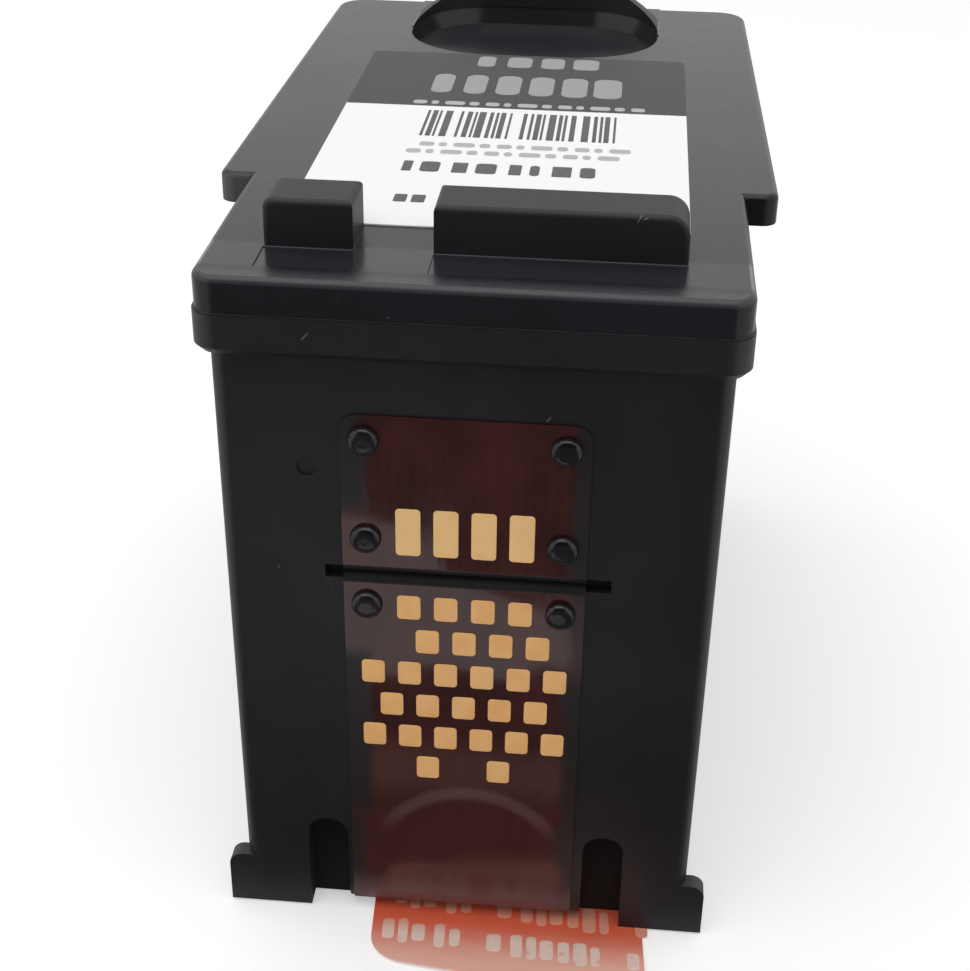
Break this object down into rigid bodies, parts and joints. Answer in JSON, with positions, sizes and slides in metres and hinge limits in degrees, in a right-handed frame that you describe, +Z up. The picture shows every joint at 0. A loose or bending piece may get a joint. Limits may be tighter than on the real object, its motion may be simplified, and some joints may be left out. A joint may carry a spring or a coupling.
{
  "type": "inkjet ink cartridge",
  "caption": "Boxy black ink tank with a ribbed lid, side grips and thumb dish, gold contacts on a film circuit, a nose with the print chip below, and an orange pull tape.",
  "frame": {"origin": "middle of the footprint on the surface that the cartridge stands on", "axes": "+Z up, -Y towards the side with the contacts and the tape's free end, +X to the side of the long latch rib"},
  "size_m": [0.0396, 0.0772, 0.0555],
  "materials": {
    "tank_plastic": "moulded satin black",
    "lid_plastic": "moulded semi-gloss black",
    "label_paper": "satin coated label, white and dark grey fields",
    "foam": "open-cell foam soaked with ink",
    "filter_steel": "fine woven screen",
    "film_polyimide": "glossy dark amber film",
    "contact_gold": "gold-plated, satin",
    "chip_silicon": "polished dark chip",
    "sealant_resin": "cured resin",
    "tape_film": "glossy orange film with pale print"
  },
  "bodies": {
    "root": {"tank_body": "tank_plastic", "lid": "lid_plastic", "label": "label_paper", "ink_absorber": "foam", "filter_screen": "filter_steel", "flex_circuit": "film_polyimide", "contact_pads": "contact_gold", "print_chip": "chip_silicon", "chip_sealant": "sealant_resin", "protective_tape": "tape_film"}
  },
  "joints": []
}
